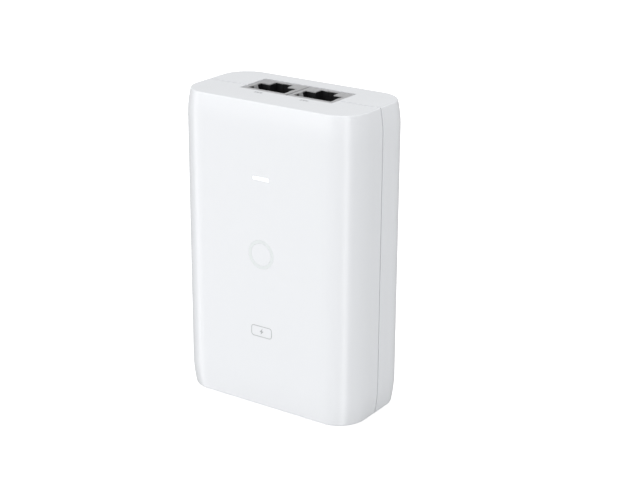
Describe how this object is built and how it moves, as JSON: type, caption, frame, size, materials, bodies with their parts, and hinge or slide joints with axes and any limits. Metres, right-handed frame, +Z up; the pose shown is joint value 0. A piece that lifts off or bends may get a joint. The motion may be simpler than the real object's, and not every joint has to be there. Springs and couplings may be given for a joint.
{
  "type": "power over ethernet injector",
  "caption": "Upright white power injector for network cable, with shielded sockets on top, a light bar, a mains inlet in the base and a slide-on wall bracket.",
  "frame": {"origin": "middle of the flat base that it stands on", "axes": "+Z up towards the sockets, -Y towards the front face with the light bar, +X to the right across the front"},
  "size_m": [0.066, 0.0344, 0.1],
  "materials": {
    "case_white": "satin moulded",
    "light_diffuser": "milky translucent",
    "mark_grey": "satin",
    "print_grey": "printed ink",
    "label_film": "matt film",
    "shield_steel": "tinned",
    "socket_black": "moulded",
    "contact_gold": "gold plated",
    "pin_nickel": "nickel plated",
    "screw_steel": "zinc plated",
    "board_laminate": "solder mask",
    "solder": "bright",
    "barrier_sheet": "fibre sheet",
    "lamp_white": "clear",
    "fuse_glass": "clear",
    "can_aluminium": "sleeved",
    "sink_aluminium": "plain",
    "disc_blue": "dipped",
    "film_yellow": "moulded",
    "chip_black": "moulded",
    "ferrite": "sintered",
    "copper_wire": "enamelled",
    "bobbin_plastic": "moulded",
    "winding_tape": "taped"
  },
  "bodies": {
    "case": {"front_cover": "case_white", "rear_cover": "case_white", "light_pipe": "light_diffuser", "front_emblem": "mark_grey", "badge_outline": "print_grey", "badge_bolt": "print_grey", "socket_marks": "print_grey", "rating_label": "label_film", "case_screws": "screw_steel", "board_screws": "screw_steel", "main_board": "board_laminate", "insulation_sheet": "barrier_sheet", "power_led": "lamp_white", "solder_joints": "solder", "inlet_housing": "socket_black", "inlet_pins": "pin_nickel", "fuse_tube": "fuse_glass", "fuse_caps": "pin_nickel", "surge_disc": "disc_blue", "noise_capacitor": "film_yellow", "choke_core": "ferrite", "choke_windings": "copper_wire", "bridge_rectifier": "chip_black", "reservoir_capacitor": "can_aluminium", "switch_heatsink": "sink_aluminium", "switch_transistor": "chip_black", "transformer_core": "ferrite", "transformer_bobbin": "bobbin_plastic", "transformer_windings": "winding_tape", "safety_capacitor": "disc_blue", "optocoupler": "chip_black", "output_heatsink": "sink_aluminium", "output_rectifier": "chip_black", "output_capacitors": "can_aluminium", "output_inductor": "ferrite", "line_magnetics": "chip_black", "control_chip": "chip_black", "chip_parts": "chip_black", "lan_socket_shield": "shield_steel", "lan_socket_housing": "socket_black", "poe_socket_shield": "shield_steel", "poe_socket_housing": "socket_black"},
    "bracket": {"wall_bracket": "case_white"},
    "lan_contacts": {"lan_socket_contacts": "contact_gold"},
    "poe_contacts": {"poe_socket_contacts": "contact_gold"}
  },
  "joints": [
    {"name": "bracket_slide", "type": "slide", "parent": "case", "child": "bracket", "axis": [0, 0, -1], "range_m": [0, 0.009]},
    {"name": "lan_contacts_flex", "type": "hinge", "parent": "case", "child": "lan_contacts", "pos_m": [-0.00855, -0.00275, 0.0974], "axis": [-1, 0, 0], "range_deg": [0, 14], "stiffness_Nm_per_rad": 0.02},
    {"name": "poe_contacts_flex", "type": "hinge", "parent": "case", "child": "poe_contacts", "pos_m": [0.00855, -0.00275, 0.0974], "axis": [-1, 0, 0], "range_deg": [0, 14], "stiffness_Nm_per_rad": 0.02}
  ]
}
